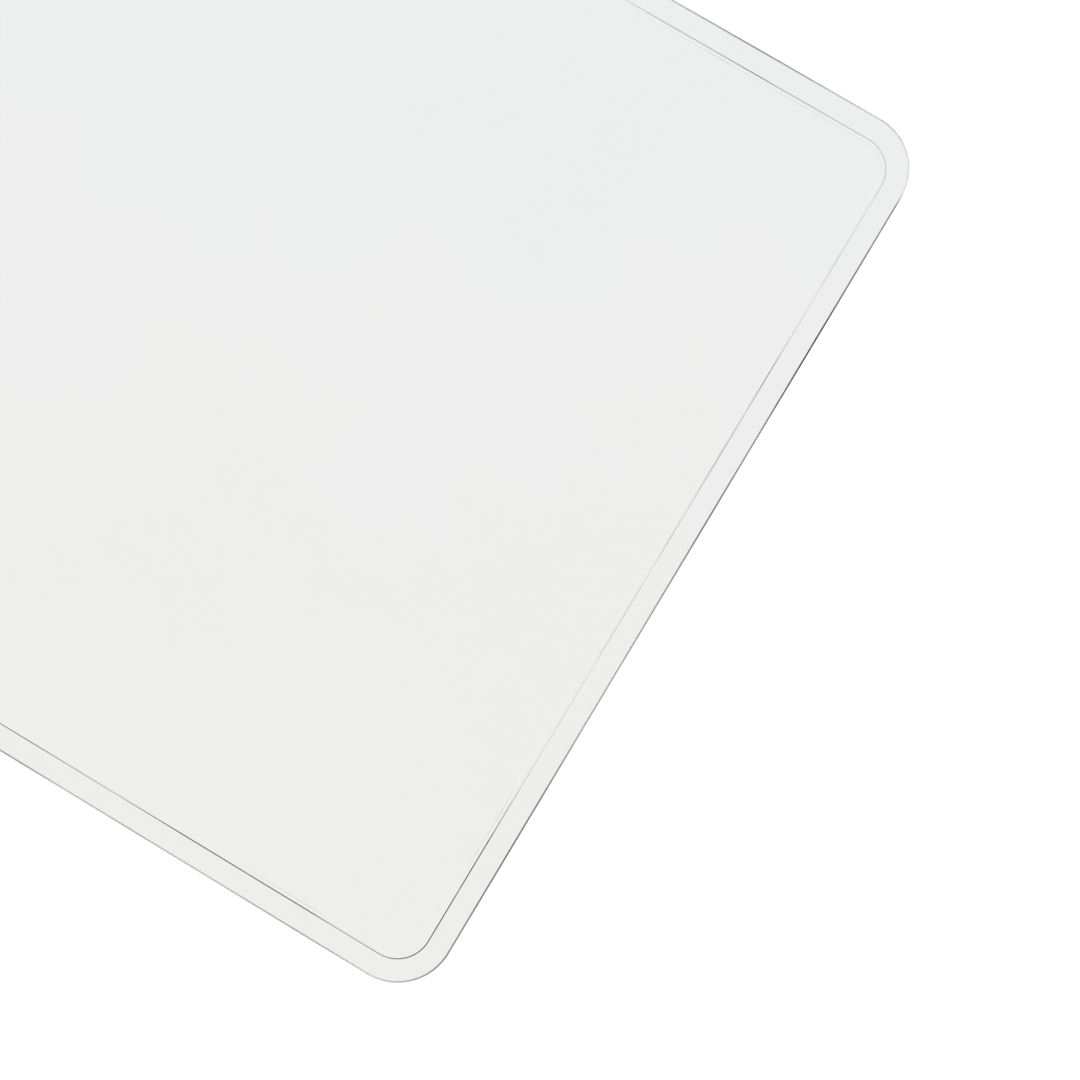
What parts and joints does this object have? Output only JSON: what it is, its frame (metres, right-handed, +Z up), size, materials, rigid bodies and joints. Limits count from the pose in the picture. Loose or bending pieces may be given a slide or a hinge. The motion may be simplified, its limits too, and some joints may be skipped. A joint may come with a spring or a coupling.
{
  "type": "chair mat",
  "caption": "Clear rectangular floor mat for a desk chair, with rounded corners, a thin sloping border and a slightly raised rolling field.",
  "frame": {"origin": "on the floor, under the middle of the mat", "axes": "+X along the length of the mat, +Y along its width, +Z up from the floor to the side that the chair rolls on"},
  "size_m": [1.2192, 0.9144, 0.0029],
  "materials": {
    "grip_film": "soft clear film with a satin, slightly tacky underside",
    "clear_sheet": "clear plasticised PVC, satin, with polished edges that look darker",
    "matt_wear_film": "clear, with a fine matt grain that does not glare"
  },
  "bodies": {
    "root": {"grip_backing": "grip_film", "base_sheet": "clear_sheet", "wear_layer": "matt_wear_film"}
  },
  "joints": []
}
